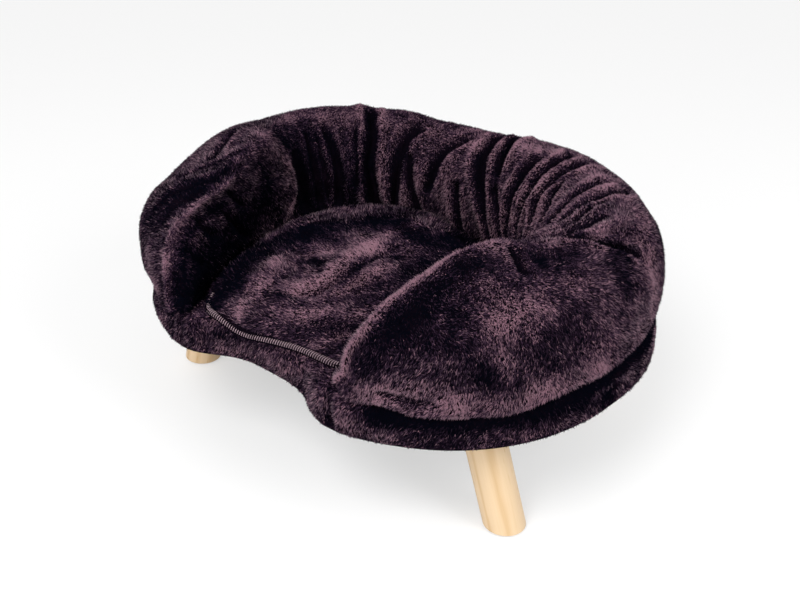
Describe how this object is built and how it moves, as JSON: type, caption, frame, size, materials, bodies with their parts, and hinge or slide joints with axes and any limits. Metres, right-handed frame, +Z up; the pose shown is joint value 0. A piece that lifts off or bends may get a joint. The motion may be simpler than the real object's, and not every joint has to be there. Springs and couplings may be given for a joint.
{
  "type": "cat sofa bed",
  "caption": "Raised pet bed with a bean-shaped plush deck, a stuffed U-shaped bolster with a gathered inner side, a loose mat and splayed round wooden legs.",
  "frame": {"origin": "on the floor, under the middle of the bed", "axes": "+X to the right as seen from the front, +Y to the back, +Z up"},
  "size_m": [0.4994, 0.4, 0.2399],
  "materials": {
    "deck_plush": "matte",
    "bolster_plush": "matte",
    "mat_plush": "matte",
    "lining_fabric": "matte",
    "overlock_thread": "matte",
    "dust_fabric": "matte",
    "fibre_filling": "matte",
    "foam": "matte",
    "plywood": "matte",
    "pine": "satin",
    "zinc_steel": "satin",
    "pad_felt": "matte"
  },
  "bodies": {
    "bed": {"deck_board": "plywood", "deck_foam": "foam", "deck_cover": "deck_plush", "dust_cover": "dust_fabric", "cover_staples": "zinc_steel", "tee_nuts": "zinc_steel", "bolster_outer_panel": "bolster_plush", "bolster_inner_panel": "bolster_plush", "bolster_base_panel": "lining_fabric", "bolster_filling": "fibre_filling"},
    "mat": {"mat_plush": "mat_plush", "mat_backing": "lining_fabric", "mat_overlock": "overlock_thread"},
    "front_left_leg": {"leg_front_left": "pine", "hanger_bolt_front_left": "zinc_steel", "foot_pad_front_left": "pad_felt"},
    "front_right_leg": {"leg_front_right": "pine", "hanger_bolt_front_right": "zinc_steel", "foot_pad_front_right": "pad_felt"},
    "rear_left_leg": {"leg_rear_left": "pine", "hanger_bolt_rear_left": "zinc_steel", "foot_pad_rear_left": "pad_felt"},
    "rear_right_leg": {"leg_rear_right": "pine", "hanger_bolt_rear_right": "zinc_steel", "foot_pad_rear_right": "pad_felt"}
  },
  "joints": [
    {"name": "mat_lift", "type": "slide", "parent": "bed", "child": "mat", "axis": [0, 0, 1], "range_m": [0, 0.13]},
    {"name": "front_left_leg_screw", "type": "hinge", "parent": "bed", "child": "front_left_leg", "pos_m": [-0.164, -0.096, 0.1], "axis": [0, 0, -1], "range_deg": [0, 360]},
    {"name": "front_right_leg_screw", "type": "hinge", "parent": "bed", "child": "front_right_leg", "pos_m": [0.164, -0.096, 0.1], "axis": [0, 0, -1], "range_deg": [0, 360]},
    {"name": "rear_left_leg_screw", "type": "hinge", "parent": "bed", "child": "rear_left_leg", "pos_m": [-0.106, 0.11, 0.1], "axis": [0, 0, -1], "range_deg": [0, 360]},
    {"name": "rear_right_leg_screw", "type": "hinge", "parent": "bed", "child": "rear_right_leg", "pos_m": [0.106, 0.11, 0.1], "axis": [0, 0, -1], "range_deg": [0, 360]}
  ]
}
